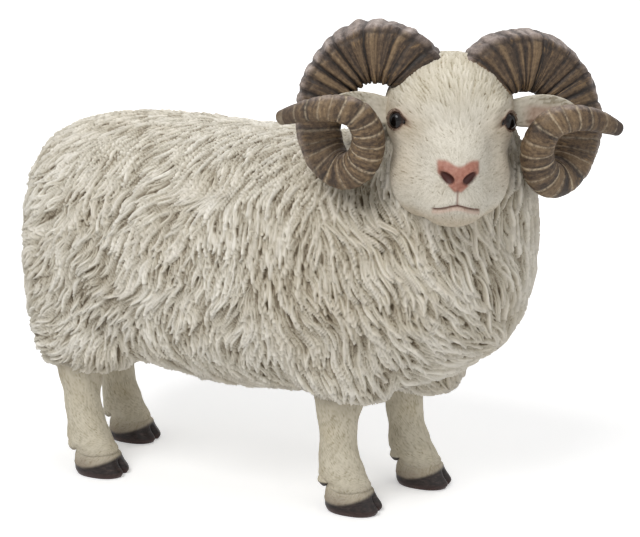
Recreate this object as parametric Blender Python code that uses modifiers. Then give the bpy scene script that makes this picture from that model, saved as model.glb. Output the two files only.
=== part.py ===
# A ram figurine, cast in resin as one piece: a ram standing square with its head turned to its
# right, a long combed fleece, curled horns, ears, bare lower legs and cloven hooves.
# It faces -Y, its left side is +X, and its hooves stand on Z = 0. Metres and degrees.

import math

import bpy
import bmesh
import numpy as np
from mathutils import Matrix, Vector
from mathutils.kdtree import KDTree

# Fleece body
BODY_LENGTH = 0.386
BODY_WIDTH = 0.158
BACK_HEIGHT = 0.268
BELLY_HEIGHT = 0.079
CHEST_REACH = 0.151         # from the middle of the stance forward to the chest
RUMP_REACH = BODY_LENGTH - CHEST_REACH
THIGH_WIDTH = 0.060
RUFF_WIDTH = 0.118
TAIL_LENGTH = 0.060

# Fleece relief
FLEECE_CELL = 0.0046        # cell of the fused skin before the locks are raised on it
FLEECE_TRIANGLES = 4740
LOCK_LENGTH = 0.034
LOCK_WIDTH = 0.0125
LOCK_HEIGHT = 0.0040
LOCK_SEED = 7

# Legs
FRONT_TRACK = 0.0644        # between the left and right feet
HIND_TRACK = 0.072
HIND_SIDE = -0.003          # how far the hind feet stand to the left of the body's middle
HIND_LEG_SET = 0.054        # from the rump forward to the middle of the right hind leg
HIND_LEG_Y = RUMP_REACH - HIND_LEG_SET
HIND_STEP = -0.011          # how far the left hind leg is ahead of the right one
HIND_LEAN = 0.0036          # how far a hind leg reaches forward on its way down
FRONT_LEG_Y = -0.024
FRONT_STEP = 0.0315         # how far the left front leg is ahead of the right one
LEG_WIDTH = 0.0290
LEG_ROOT = 0.045            # how far a leg runs up into the fleece
HOOF_AHEAD = 0.0064         # of the middle of the leg above it
HOOF_HEIGHT = 0.017
HOOF_LENGTH = 0.041
HOOF_WIDTH = 0.031
CLEFT_WIDTH = 0.0032

# Head, measured from the point between the eyes
HEAD_RISE = 0.019           # of that point above the back
HEAD_PLACE = Vector((-0.0485, -0.1015, BACK_HEIGHT + HEAD_RISE))
HEAD_TURN = 66.5            # to the ram's right
HEAD_TILT = 1.2
HEAD_SIZE = 0.0875          # width across the temples
HEAD_CELL = 0.0026
HEAD_TRIANGLES = 1150
EYE_SPACING = 0.0742
EYE_RISE = 0.0018
EYE_SIZE = 0.0140
NOSE_WIDTH = 0.0262
MOUTH_WIDTH = 0.0300
EAR_LENGTH = 0.046

# Horns
HORN_WIDTH = 0.0370         # across the root
HORN_RIB_DEPTH = 0.0012
RIGHT_HORN_DROP = 0.0010    # how much lower than the line below each horn sits
LEFT_HORN_DROP = 0.0046
RIGHT_TIP_REACH = 0.0048    # how much further out the tip of the right horn ends

parts = bpy.data.collections.new("ram_figurine")


def clear_scene():
    for thing in list(bpy.data.objects):
        bpy.data.objects.remove(thing)
    bpy.context.scene.collection.children.link(parts)


# Shapes

def eased(stations, steps):
    """Stations with `steps` smooth steps from each one to the next, as rows of numbers."""
    rows = np.array(stations, float)
    ends = np.vstack([2 * rows[0] - rows[1], rows, 2 * rows[-1] - rows[-2]])
    out = []
    for i in range(len(rows) - 1):
        a, b, c, d = ends[i:i + 4]
        for s in range(steps):
            t = s / steps
            out.append(0.5 * (2 * b + (c - a) * t + (2 * a - 5 * b + 4 * c - d) * t * t
                              + (3 * b - a - 3 * c + d) * t ** 3))
    out.append(rows[-1])
    return np.array(out)


def oval(count, half_across, half_up, squareness=2.0, start=0.0):
    """Points of a rounded outline in its own plane, from the +across side turning to +up."""
    angles = np.linspace(0, 2 * math.pi, count, endpoint=False) + math.radians(start)
    c, s = np.cos(angles), np.sin(angles)
    power = 2.0 / squareness
    return np.stack([half_across * np.sign(c) * np.abs(c) ** power,
                     half_up * np.sign(s) * np.abs(s) ** power], axis=1)


def object_from(name, mesh):
    data = bpy.data.meshes.new(name)
    mesh.to_mesh(data)
    mesh.free()
    obj = bpy.data.objects.new(name, data)
    parts.objects.link(obj)
    return obj


def loft(name, rings):
    """A closed skin through rings of equal length, with a point at each end."""
    mesh = bmesh.new()
    rows = [[mesh.verts.new(p) for p in ring] for ring in rings]
    for low, high in zip(rows, rows[1:]):
        for i in range(len(low)):
            j = (i + 1) % len(low)
            mesh.faces.new((low[i], low[j], high[j], high[i]))
    for row, sign in ((rows[0], -1), (rows[-1], 1)):
        tip = mesh.verts.new(sum((v.co for v in row), Vector()) / len(row))
        for i in range(len(row)):
            pair = (row[i], row[(i + 1) % len(row)])
            mesh.faces.new((*(pair if sign > 0 else pair[::-1]), tip))
    bmesh.ops.recalc_face_normals(mesh, faces=mesh.faces)
    return object_from(name, mesh)


def ball(name, centre, radii, turn=Matrix.Identity(3), detail=(24, 14)):
    """An ellipsoid of the given half sizes."""
    mesh = bmesh.new()
    shape = turn.to_4x4()
    shape.translation = Vector(centre)
    shape = shape @ Matrix.Diagonal((*radii, 1))
    bmesh.ops.create_uvsphere(mesh, u_segments=detail[0], v_segments=detail[1], radius=1, matrix=shape)
    return object_from(name, mesh)


def block(name, centre, size, turn=Matrix.Identity(3)):
    mesh = bmesh.new()
    shape = turn.to_4x4()
    shape.translation = Vector(centre)
    bmesh.ops.create_cube(mesh, size=1, matrix=shape @ Matrix.Diagonal((*size, 1)))
    return object_from(name, mesh)


def applied(obj):
    """The object with its modifiers made real."""
    graph = bpy.context.evaluated_depsgraph_get()
    data = bpy.data.meshes.new_from_object(obj.evaluated_get(graph))
    obj.modifiers.clear()
    old, obj.data = obj.data, data
    bpy.data.meshes.remove(old)
    return obj


def joined(body, other, how="UNION"):
    step = body.modifiers.new("join", "BOOLEAN")
    step.operation = how
    step.object = other
    step.solver = "EXACT"
    step.use_self = other.name.startswith("horn")
    applied(body)
    bpy.data.objects.remove(other)
    return body


def fused(name, shapes, cell, passes):
    """Overlapping shapes as one even skin, with the creases between them softened."""
    whole = bmesh.new()
    for shape in shapes:
        whole.from_mesh(shape.data)
        bpy.data.objects.remove(shape)
    obj = object_from(name, whole)
    skin = obj.modifiers.new("skin", "REMESH")
    skin.mode = "VOXEL"
    skin.voxel_size = cell
    soften = obj.modifiers.new("soften", "SMOOTH")
    soften.factor = 0.5
    soften.iterations = passes
    return applied(obj)


def thinned(obj, triangles):
    """The same skin with its triangles spent where it bends."""
    now = sum(len(face.vertices) - 2 for face in obj.data.polygons)
    step = obj.modifiers.new("thin", "DECIMATE")
    step.ratio = min(1.0, triangles / now)
    return applied(obj)


def points_of(obj):
    flat = np.empty(len(obj.data.vertices) * 3)
    obj.data.vertices.foreach_get("co", flat)
    return flat.reshape(-1, 3)


def normals_of(obj):
    flat = np.empty(len(obj.data.vertices) * 3, np.float32)
    obj.data.vertex_normals.foreach_get("vector", flat)
    return flat.reshape(-1, 3).astype(float)


def put_points(obj, points):
    obj.data.vertices.foreach_set("co", points.ravel())
    obj.data.update()


def ramp(values, low, high):
    """0 below low, 1 above high, and a smooth rise between."""
    t = np.clip((values - low) / (high - low), 0, 1)
    return t * t * (3 - 2 * t)


# Fleece: a barrel, two thighs, two shoulders, the ruff round the neck and a short tail

# (share from rump to chest, half width, top, underside), as shares of the body's sizes
BARREL = [(0.000, 0.18, 0.66, 0.40), (0.022, 0.53, 0.825, 0.21), (0.065, 0.77, 0.935, 0.10),
          (0.130, 0.89, 0.983, 0.05), (0.215, 0.95, 1.01, 0.05), (0.310, 0.98, 1.01, 0.02),
          (0.405, 1.00, 1.00, 0.00), (0.510, 1.00, 0.99, 0.00), (0.610, 0.97, 0.985, 0.02),
          (0.715, 0.93, 0.985, 0.05), (0.815, 0.85, 0.97, 0.10), (0.885, 0.72, 0.92, 0.18),
          (0.942, 0.53, 0.84, 0.32), (0.980, 0.26, 0.73, 0.50)]


def barrel():
    depth = BACK_HEIGHT - BELLY_HEIGHT
    rings = []
    for along, wide, top, under in eased(BARREL, 4):
        y = RUMP_REACH - along * BODY_LENGTH
        low, high = BELLY_HEIGHT + under * depth, BELLY_HEIGHT + top * depth
        flat = oval(36, wide * BODY_WIDTH / 2, (high - low) / 2, 2.25)
        rings.append([(x, y, (low + high) / 2 + z) for x, z in flat])
    return loft("barrel", rings)


def thigh(side, step):
    """The wool over a hind leg, from the rump down to its hem below the belly."""
    depth = BACK_HEIGHT - BELLY_HEIGHT
    x = side * HIND_TRACK / 2 + HIND_SIDE
    stations = [(0.03, -0.002, 0.62, 0.62), (0.09, -0.002, 0.78, 0.79), (0.25, -0.003, 0.92, 0.92),
                (0.45, -0.004, 1.00, 0.97), (0.70, -0.006, 0.84, 0.88), (0.92, -0.016, 0.50, 0.50)]
    rings = []
    for up, back, wide, long in eased(stations, 4):
        z = BELLY_HEIGHT + up * depth
        y = HIND_LEG_Y - step + back
        flat = oval(24, wide * THIGH_WIDTH / 2, long * THIGH_WIDTH * 0.84, 2.2)
        rings.append([(x + a, y + b, z) for a, b in flat])
    return loft("thigh", rings)


def shoulder(side, step):
    """The wool over a front leg, hanging to a hem level with the belly."""
    x = side * (FRONT_TRACK / 2 + 0.003)
    y = FRONT_LEG_Y - 0.85 * step - 0.002
    depth = BACK_HEIGHT - BELLY_HEIGHT
    hem = 0.045 - 0.065 * (step > 0)
    stations = [(hem, 0.66, 0.70), (hem + 0.045, 0.84, 0.92), (0.22, 1.00, 1.06), (0.45, 1.12, 1.15),
                (0.70, 0.90, 0.95), (0.88, 0.50, 0.50)]
    rings = []
    for up, wide, long in eased(stations, 4):
        z = BELLY_HEIGHT + up * depth
        flat = oval(24, wide * THIGH_WIDTH / 2, long * THIGH_WIDTH * 0.62)
        rings.append([(x + a, y + b, z) for a, b in flat])
    return loft("shoulder", rings)


def ruff():
    """The deep wool round the neck and down the chest, from low in the chest to the nape."""
    nape = HEAD_PLACE + head_turn() @ Vector((0, 0.040, -0.006))
    low = Vector((0, RUMP_REACH - 0.790 * BODY_LENGTH, BELLY_HEIGHT + 0.18 * BACK_HEIGHT))
    stations = [(-0.12, 0.50, 0.56, 0.002), (0.04, 0.84, 0.93, -0.006), (0.26, 1.01, 1.04, -0.007),
                (0.50, 0.98, 1.03, -0.008), (0.74, 0.92, 0.96, -0.006), (0.94, 0.78, 0.80, -0.002),
                (1.06, 0.50, 0.55, 0.0)]
    rings = []
    for up, wide, long, lean in eased(stations, 4):
        centre = low.lerp(nape, up)
        flat = oval(28, wide * RUFF_WIDTH / 2, long * RUFF_WIDTH / 2, 2.1)
        rings.append([(centre.x + a, centre.y + lean + b, centre.z) for a, b in flat])
    return loft("ruff", rings)


def tail():
    depth = BACK_HEIGHT - BELLY_HEIGHT
    top = BELLY_HEIGHT + 0.72 * depth
    return ball("tail", (0, RUMP_REACH - 0.009, top - TAIL_LENGTH / 2), (0.015, 0.011, TAIL_LENGTH / 2))


# (share from rump to chest, then how far from straight down the wool is swept towards the tail,
# in degrees, at the hem, halfway up and on the back)
COMBING = [(0.00, 70, 62, 56), (0.10, 66, 60, 56), (0.17, 25, 32, 54), (0.26, -20, 33, 54),
           (0.38, -34, 30, 54), (0.50, -24, 10, 50), (0.62, -10, -6, 40), (0.76, -26, -32, 10),
           (0.90, -32, -38, -10), (1.00, -30, -34, -10)]


def combing(points, normals):
    """The way the wool is combed: down the sides, back over the flank and rump, forward on the chest."""
    depth = BACK_HEIGHT - BELLY_HEIGHT
    share = (RUMP_REACH - points[:, 1]) / BODY_LENGTH
    height = (points[:, 2] - BELLY_HEIGHT) / depth
    places, low, middle, top = np.array(COMBING).T
    low, middle, top = (np.interp(share, places, row) for row in (low, middle, top))
    swept = middle + (low - middle) * (1 - ramp(height, 0.02, 0.32))
    swept += (top - swept) * ramp(height, 0.68, 1.0)
    angle = np.radians(swept)
    way = np.stack([np.zeros(len(points)), np.sin(angle), -np.cos(angle)], axis=1)
    way -= normals * (way * normals).sum(axis=1, keepdims=True)
    return way / np.maximum(np.linalg.norm(way, axis=1, keepdims=True), 1e-6)


def raise_locks(obj):
    """Overlapping locks of wool, each rising along the combing and dropping off past its tip."""
    points, normals = points_of(obj), normals_of(obj)
    way = combing(points, normals)
    across = np.cross(normals, way)
    chance = np.random.default_rng(LOCK_SEED)
    tree = KDTree(len(points))
    for i, p in enumerate(points):
        tree.insert(p, i)
    tree.balance()
    taken = np.zeros(len(points), bool)
    height = np.zeros(len(points))
    for i in chance.permutation(len(points)):
        if taken[i]:
            continue
        near = np.array([hit[1] for hit in tree.find_range(points[i], LOCK_LENGTH * 0.62)])
        gap = points[near] - points[i]
        along = gap @ way[i]
        aside = gap @ across[i]
        crowd = (along / (0.40 * LOCK_LENGTH)) ** 2 + (aside / (0.70 * LOCK_WIDTH)) ** 2 < 1
        taken[near[crowd]] = True
        lean = chance.normal(0, 0.10)
        size = chance.uniform(0.85, 1.15)
        t = along / (LOCK_LENGTH * size) + 0.5
        half = LOCK_WIDTH * 0.5 * np.clip(1.25 - 0.95 * np.abs(t - 0.35) ** 1.3, 0.2, 2)
        bow = 1 - ((aside - lean * along) / half) ** 2
        rise = (0.35 + 0.65 * ramp(t, 0.0, 0.70)) * (1 - ramp(t, 0.80, 1.0)) * ramp(t, -0.05, 0.2)
        facing = np.clip((normals[near] @ normals[i]) * 2 - 1, 0, 1)
        height[near] = np.maximum(height[near], np.clip(bow, 0, 1) * rise * facing * size)
    put_points(obj, points + normals * (height[:, None] * LOCK_HEIGHT - 0.4 * LOCK_HEIGHT))


def fleece():
    shapes = [barrel(), ruff(), tail()]
    for side in (-1, 1):
        shapes.append(thigh(side, HIND_STEP if side > 0 else 0.0))
        shapes.append(shoulder(side, FRONT_STEP if side > 0 else 0.0))
    wool = fused("fleece", shapes, FLEECE_CELL, 8)
    raise_locks(wool)
    return thinned(wool, FLEECE_TRIANGLES)


# Legs and hooves

def leg(x, y, lean):
    """A bare lower leg out of the fleece: a slim shank, then the fetlock and the pastern, which
    steps forward onto the hoof."""
    half = LEG_WIDTH / 2
    # height, half width, half length, how far back of the hoof, share of the lean that is gone
    stations = [(BELLY_HEIGHT + LEG_ROOT, 1.30, 1.45, 1.75, 0.0), (BELLY_HEIGHT + 0.006, 1.16, 1.24, 1.80, 0.0),
                (0.80 * BELLY_HEIGHT, 0.98, 0.95, 1.85, 0.2), (0.60 * BELLY_HEIGHT, 0.92, 0.93, 1.84, 0.5),
                (0.41 * BELLY_HEIGHT, 0.99, 1.10, 1.55, 0.8), (0.325 * BELLY_HEIGHT, 1.04, 1.17, 1.38, 1.0),
                (0.265 * BELLY_HEIGHT, 1.00, 1.05, 0.72, 1.0), (0.175 * BELLY_HEIGHT, 1.02, 1.13, 0.44, 1.0),
                (0.080 * BELLY_HEIGHT, 1.00, 1.18, 0.20, 1.0)]
    rings = []
    for z, wide, long, back, share in eased(stations, 2):
        flat = oval(12, half * wide, half * long)
        middle = y + lean * (1 - share) + HOOF_AHEAD * (back - 1)
        rings.append([(x + a, middle + b, z) for a, b in flat])
    return loft("leg", rings)


def hoof(x, y):
    """Two claws on one flat sole, parted by a cleft at the toe."""
    stations = [(0.0, 0.92, 0.93, 0.0), (0.20, 1.0, 1.0, 0.0), (0.50, 0.98, 0.91, 0.0017),
                (0.80, 0.93, 0.83, 0.0032), (1.12, 0.80, 0.68, 0.0048)]
    middle = y - HOOF_AHEAD
    rings = []
    for up, wide, long, back in stations:
        flat = oval(16, wide * HOOF_WIDTH / 2, long * HOOF_LENGTH / 2, 2.4)
        rings.append([(x + a, middle + back + b, up * HOOF_HEIGHT) for a, b in flat])
    body = loft("hoof", rings)
    toe = (x, middle - 0.46 * HOOF_LENGTH, 0.30 * HOOF_HEIGHT)
    cut = block("cleft", toe, (CLEFT_WIDTH, 0.30 * HOOF_LENGTH, 1.9 * HOOF_HEIGHT),
                Matrix.Rotation(math.radians(38), 3, "X"))
    return joined(body, cut, "DIFFERENCE")


def dewclaw(x, y, inner):
    """One of the two small claws at the back of a fetlock."""
    return ball("dewclaw", (x + inner * 0.0066, y + 0.0115 + 0.5 * HOOF_AHEAD, 1.30 * HOOF_HEIGHT),
                (0.0045, 0.0058, 0.0052), detail=(8, 6))


# Head

def head_turn():
    return (Matrix.Rotation(math.radians(-HEAD_TURN), 3, "Z")
            @ Matrix.Rotation(math.radians(HEAD_TILT), 3, "Y"))


def on_head(left, ahead, up):
    """A place given from the point between the eyes, in the ram's own frame."""
    return HEAD_PLACE + head_turn() @ Vector((left, -ahead, up))


# The head's forms: (left, ahead, up, half width, half length, half height), as shares of its size
SKULL = [(0.00, -0.17, 0.045, 0.490, 0.430, 0.445), (0.00, 0.02, -0.04, 0.455, 0.270, 0.330),
         (0.255, 0.015, -0.02, 0.210, 0.235, 0.270), (0.18, 0.04, -0.38, 0.265, 0.380, 0.330),
         (0.00, 0.22, -0.24, 0.300, 0.360, 0.255), (0.00, 0.36, -0.46, 0.290, 0.245, 0.250),
         (0.00, 0.44, -0.30, 0.200, 0.205, 0.150), (0.00, 0.29, -0.595, 0.228, 0.190, 0.135),
         (0.00, -0.30, -0.20, 0.330, 0.300, 0.380)]


def carve_face(obj):
    """Sockets, brow, nose pad, nostrils, the line below the nose and the mouth."""
    back = head_turn().inverted()
    points, normals = points_of(obj), normals_of(obj)
    local = (points - np.array(HEAD_PLACE)) @ np.array(back).T
    left, ahead, up = np.abs(local[:, 0]), -local[:, 1], local[:, 2]
    front = ramp(ahead, 0.34 * HEAD_SIZE, 0.46 * HEAD_SIZE)

    def patch(u, z, wide, tall):
        return np.exp(-((left - u) / wide) ** 2 - ((up - z) / tall) ** 2)

    e, n = EYE_SPACING / 2, NOSE_WIDTH / 2
    side = ramp(ahead, -0.012, 0.004)
    move = -0.0030 * side * patch(e + 0.001, EYE_RISE, 0.009, 0.0085)
    move += 0.0022 * side * patch(e - 0.003, EYE_RISE + 0.0115, 0.011, 0.0045)
    move += 0.0012 * front * patch(0.30 * n, -0.0237, 0.95 * n, 0.0075)
    move -= 0.0032 * front * patch(0.58 * n, -0.0253, 0.26 * n, 0.0038)
    move -= 0.0012 * front * patch(0.0, -0.0400, 0.0012, 0.0060)
    move -= 0.0024 * ramp(ahead, 0.026, 0.034) * patch(0.0, -0.0480, MOUTH_WIDTH * 0.50, 0.0014)
    put_points(obj, points + normals * move[:, None])


def skull():
    shapes = []
    for left, ahead, up, wide, long, high in SKULL:
        for side in ((-1, 1) if left else (1,)):
            place = on_head(side * left * HEAD_SIZE, ahead * HEAD_SIZE, up * HEAD_SIZE)
            radii = (wide * HEAD_SIZE, long * HEAD_SIZE, high * HEAD_SIZE)
            shapes.append(ball("form", place, radii, head_turn()))
    head = fused("skull", shapes, HEAD_CELL, 14)
    carve_face(head)
    return thinned(head, HEAD_TRIANGLES)


def eye(side):
    place = on_head(side * (EYE_SPACING / 2 - 0.0010), 0.0052, EYE_RISE)
    return ball("eye", place, (EYE_SIZE / 2,) * 3, detail=(12, 8))


def ear(side):
    """A leaf-shaped ear held out sideways through the coil of the horn, hollow towards the front."""
    stations = [(-0.12, 0.78, 0.50), (0.10, 0.82, 0.38), (0.35, 0.98, 0.28), (0.60, 0.95, 0.22),
                (0.82, 0.62, 0.18), (0.96, 0.24, 0.12)]
    root = (0.40 * HEAD_SIZE, -0.010, 0.004)
    rings = []
    for out, high, thick in eased(stations, 2):
        ring = []
        for deep, tall in oval(10, thick * 0.010, high * 0.0105):
            cupped = 0.0034 * high * ((tall / (high * 0.0105)) ** 2 - 0.5)
            ring.append(on_head(side * (root[0] + out * EAR_LENGTH), root[1] + 0.006 * out + deep + cupped,
                                root[2] + 0.005 * out + tall))
        rings.append(ring)
    return loft("ear", rings)


# Horns

# Centre line of a horn as (out, ahead, up) from the point between the eyes and its width, in
# shares of the width across its root
HORN_LINE = [(0.43, -0.43, 0.60, 0.98), (0.76, -0.46, 0.98, 1.07), (1.20, -0.55, 1.13, 1.08),
             (1.68, -0.60, 1.02, 1.03), (2.09, -0.56, 0.60, 0.94), (2.28, -0.44, -0.03, 0.83),
             (2.16, -0.22, -0.62, 0.74), (1.84, 0.06, -0.87, 0.66), (1.54, 0.32, -0.66, 0.61),
             (1.45, 0.48, -0.22, 0.57), (1.62, 0.56, 0.15, 0.52), (1.96, 0.58, 0.29, 0.47),
             (2.34, 0.55, 0.27, 0.40), (2.64, 0.48, 0.17, 0.31), (2.78, 0.44, 0.11, 0.21)]


def horn(side):
    drop = LEFT_HORN_DROP if side > 0 else RIGHT_HORN_DROP
    line = np.array(HORN_LINE)
    if side < 0:
        line[-3:, 0] += np.array((0.25, 0.65, 1.0)) * RIGHT_TIP_REACH / HORN_WIDTH
    line = eased(line, 3) * HORN_WIDTH
    spots = [Vector(row[:3]) for row in line]
    length = np.cumsum([0.0] + [(b - a).length for a, b in zip(spots, spots[1:])])
    rings = []
    for i, spot in enumerate(spots):
        along = (spots[min(i + 1, len(spots) - 1)] - spots[max(i - 1, 0)]).normalized()
        ahead = Vector((0, 1, 0))
        ahead = (ahead - ahead.dot(along) * along).normalized()
        out = along.cross(ahead)
        share = length[i] / length[-1]
        rib = HORN_RIB_DEPTH * (1 - 0.7 * share) * math.cos(math.pi * i)
        half = line[i][3] / 2 + (rib if 1 < i < len(spots) - 4 else 0)
        # flat in front and on top near the root with an edge between them, and rounder further on
        squareness = 3.8 - 1.6 * float(ramp(share, 0.25, 0.60))
        ring = []
        for a, b in oval(12, half, half * 0.94, squareness, 15):
            p = spot + out * a + ahead * b
            ring.append(on_head(side * p.x, p.y, p.z - drop))
        rings.append(ring)
    return loft("horn", rings)


# Assembly

def resin():
    paint = bpy.data.materials.new("painted_resin")
    paint.use_nodes = True
    look = paint.node_tree.nodes["Principled BSDF"]
    look.inputs["Base Color"].default_value = (0.58, 0.52, 0.42, 1)
    look.inputs["Roughness"].default_value = 0.75
    return paint


def build():
    clear_scene()
    ram = fleece()
    pieces = [skull()]
    for side in (-1, 1):
        hind = HIND_LEG_Y - HIND_LEAN - (HIND_STEP if side > 0 else 0.0)
        front = FRONT_LEG_Y - (FRONT_STEP if side > 0 else 0.0)
        for x, y, lean in ((side * HIND_TRACK / 2 + HIND_SIDE, hind, HIND_LEAN),
                           (side * FRONT_TRACK / 2, front, 0.18 * (FRONT_LEG_Y - front))):
            pieces += [leg(x, y, lean), hoof(x, y), dewclaw(x, y, -1), dewclaw(x, y, 1)]
        pieces += [eye(side), ear(side), horn(side)]
    for piece in pieces:
        joined(ram, piece)
    points = points_of(ram)
    middle = (points.min(axis=0) + points.max(axis=0)) / 2
    put_points(ram, points - (middle[0], middle[1], points[:, 2].min()))
    ram.name = "ram_figurine"
    ram.data.materials.clear()
    ram.data.materials.append(resin())
    return ram


if __name__ == "__main__":
    build()
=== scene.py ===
# A resin ram figurine: combed fleece, face, ears, horns, legs and hooves, all painted and washed.
# Metres, but the relief of head and horns is in millimetres. The ram faces -Y, its head turned to -X.
import math

import bpy
import numpy as np
from mathutils import Matrix, Vector
from mathutils.kdtree import KDTree


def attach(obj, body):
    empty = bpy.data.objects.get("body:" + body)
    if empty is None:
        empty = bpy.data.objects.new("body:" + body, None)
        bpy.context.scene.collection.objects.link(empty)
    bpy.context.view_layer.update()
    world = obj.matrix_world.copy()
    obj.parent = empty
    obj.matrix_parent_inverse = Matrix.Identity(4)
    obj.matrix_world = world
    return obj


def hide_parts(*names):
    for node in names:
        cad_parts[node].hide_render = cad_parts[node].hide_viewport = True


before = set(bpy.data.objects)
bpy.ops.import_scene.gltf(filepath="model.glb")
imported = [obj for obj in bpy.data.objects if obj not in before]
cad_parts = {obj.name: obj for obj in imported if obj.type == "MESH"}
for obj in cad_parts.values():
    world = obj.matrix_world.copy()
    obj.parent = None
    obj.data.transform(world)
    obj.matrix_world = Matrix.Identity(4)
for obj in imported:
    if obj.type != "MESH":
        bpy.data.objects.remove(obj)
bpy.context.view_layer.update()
print("frame loaded")

standShift = np.array((0.01452, -0.01684, 0.0))  # from the middle of the stance to the middle of the box


# camera and lamps

photoView = {"azimuth": -68.0, "elevation": 15.0, "lens": 85.0, "distance": 1.0578,
             "target": (-0.00648, -0.01684, 0.172)}

# turn from the camera, height above the horizon, distance, size, watts
lamps = {"keyBox": (-34, 48, 1.6, 0.8, 15.5), "fillBox": (48, 20, 1.8, 1.3, 4.5),
         "topBox": (150, 66, 1.5, 1.1, 8.0)}
lampAim = Vector((0, 0, 0.16))
paleLevel = 0.34  # of the world and the floor, where the camera doesn't see them


def outwards(azimuth, elevation):
    a, e = math.radians(azimuth), math.radians(elevation)
    return Vector((math.sin(a) * math.cos(e), -math.cos(a) * math.cos(e), math.sin(e)))


def addCamera(look):
    back = outwards(look["azimuth"], look["elevation"])
    bpy.ops.object.camera_add(location=Vector(look["target"]) + back * look["distance"],
                              rotation=back.to_track_quat("Z", "Y").to_euler())
    camera = bpy.context.object
    camera.data.lens = look["lens"]
    camera.data.clip_start = 0.01
    bpy.context.scene.camera = camera


def addLamps():
    for name, (turn, height, away, size, watts) in lamps.items():
        out = outwards(photoView["azimuth"] + turn, height)
        bpy.ops.object.light_add(type="AREA", location=lampAim + out * away,
                                 rotation=out.to_track_quat("Z", "Y").to_euler())
        bpy.context.object.name = name
        bpy.context.object.data.size = size
        bpy.context.object.data.energy = watts


bpy.context.scene.view_settings.view_transform = "Standard"
addCamera(photoView)
addLamps()
print("camera and lamps placed")


# small tools for shapes

def easedRows(stations, steps):
    # the stations with smooth steps from each one to the next
    rows = np.array(stations, float)
    ends = np.vstack([2 * rows[0] - rows[1], rows, 2 * rows[-1] - rows[-2]])
    out = []
    for i in range(len(rows) - 1):
        a, b, c, d = ends[i:i + 4]
        for s in range(steps):
            t = s / steps
            out.append(0.5 * (2 * b + (c - a) * t + (2 * a - 5 * b + 4 * c - d) * t * t
                              + (3 * b - a - 3 * c + d) * t ** 3))
    out.append(rows[-1])
    return np.array(out)


def squared(wave, squareness):
    # a sine or cosine bent so that a circle of them becomes a rounded square
    return np.sign(wave) * np.abs(wave) ** (2 / squareness)


def roundOutline(count, halfAcross, halfUp, squareness=2.0):
    angles = np.linspace(0, 2 * math.pi, count, endpoint=False)
    return np.stack([halfAcross * squared(np.cos(angles), squareness),
                     halfUp * squared(np.sin(angles), squareness)], axis=1)


def ramp(values, low, high):
    t = np.clip((np.asarray(values, float) - low) / (high - low), 0, 1)
    return t * t * (3 - 2 * t)


def bell(values, wide):
    return np.exp(-(values / wide) ** 2)


def unitRows(ways):
    return ways / np.maximum(np.linalg.norm(ways, axis=1, keepdims=True), 1e-6)


def alongSkin(ways, normals):
    return unitRows(ways - normals * (ways * normals).sum(axis=1, keepdims=True))


# small tools for meshes

def pointsOf(piece):
    flat = np.empty(len(piece.data.vertices) * 3)
    piece.data.vertices.foreach_get("co", flat)
    return flat.reshape(-1, 3)


def normalsOf(piece):
    flat = np.empty(len(piece.data.vertices) * 3, np.float32)
    piece.data.vertex_normals.foreach_get("vector", flat)
    return flat.reshape(-1, 3).astype(float)


def putPoints(piece, points):
    piece.data.vertices.foreach_set("co", np.ascontiguousarray(points, float).ravel())
    piece.data.update()


def pushOut(piece, height):
    putPoints(piece, pointsOf(piece) + normalsOf(piece) * height[:, None])


def keepValues(piece, **layers):
    # stored per point, for the paint to read
    for name, values in layers.items():
        single = values.ndim == 1
        layer = piece.data.attributes.new(name, "FLOAT" if single else "FLOAT_VECTOR", "POINT")
        layer.data.foreach_set("value" if single else "vector", values.astype(np.float32).ravel())


def onlyPick(piece):
    bpy.ops.object.select_all(action="DESELECT")
    piece.select_set(True)
    bpy.context.view_layer.objects.active = piece


def skinThrough(name, rings):
    # a grid bent through the rings and closed at both ends, its seam and ends merged
    first, last = np.mean(rings[0], axis=0), np.mean(rings[-1], axis=0)
    rings = np.array([[first] * len(rings[0]), *rings, [last] * len(rings[-1])], float)
    rows, around = rings.shape[:2]
    bpy.ops.object.select_all(action="DESELECT")
    bpy.ops.mesh.primitive_grid_add(x_subdivisions=around, y_subdivisions=rows - 1, size=2)
    piece = bpy.context.object
    piece.name = name
    flat = pointsOf(piece)
    column = np.rint((flat[:, 0] + 1) / 2 * around).astype(int) % around
    row = np.rint((flat[:, 1] + 1) / 2 * (rows - 1)).astype(int)
    putPoints(piece, rings[row, column])
    bpy.ops.object.mode_set(mode="EDIT")
    bpy.ops.mesh.select_all(action="SELECT")
    bpy.ops.mesh.remove_doubles(threshold=1e-7)
    bpy.ops.mesh.normals_make_consistent(inside=False)
    bpy.ops.object.mode_set(mode="OBJECT")
    return piece


def addBall(name, centre, radii, turn=Matrix.Identity(3), segments=32, rings=20):
    bpy.ops.object.select_all(action="DESELECT")
    bpy.ops.mesh.primitive_uv_sphere_add(segments=segments, ring_count=rings, radius=1)
    piece = bpy.context.object
    piece.name = name
    shape = turn.to_4x4()
    shape.translation = Vector(centre)
    piece.data.transform(shape @ Matrix.Diagonal((*radii, 1)))
    return piece


def evenSkin(piece, cell, passes, levels):
    # one even skin, its creases softened, then refined
    skin = piece.modifiers.new("skin", "REMESH")
    skin.mode = "VOXEL"
    skin.voxel_size = cell
    soften = piece.modifiers.new("soften", "SMOOTH")
    soften.factor = 0.5
    soften.iterations = passes
    if levels:
        finer = piece.modifiers.new("finer", "SUBSURF")
        finer.levels = finer.render_levels = levels
    onlyPick(piece)
    for step in list(piece.modifiers):
        bpy.ops.object.modifier_apply(modifier=step.name)


def joinForms(name, forms):
    onlyPick(forms[0])
    for form in forms:
        form.select_set(True)
    bpy.ops.object.join()
    bpy.context.object.name = name
    return bpy.context.object


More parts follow.
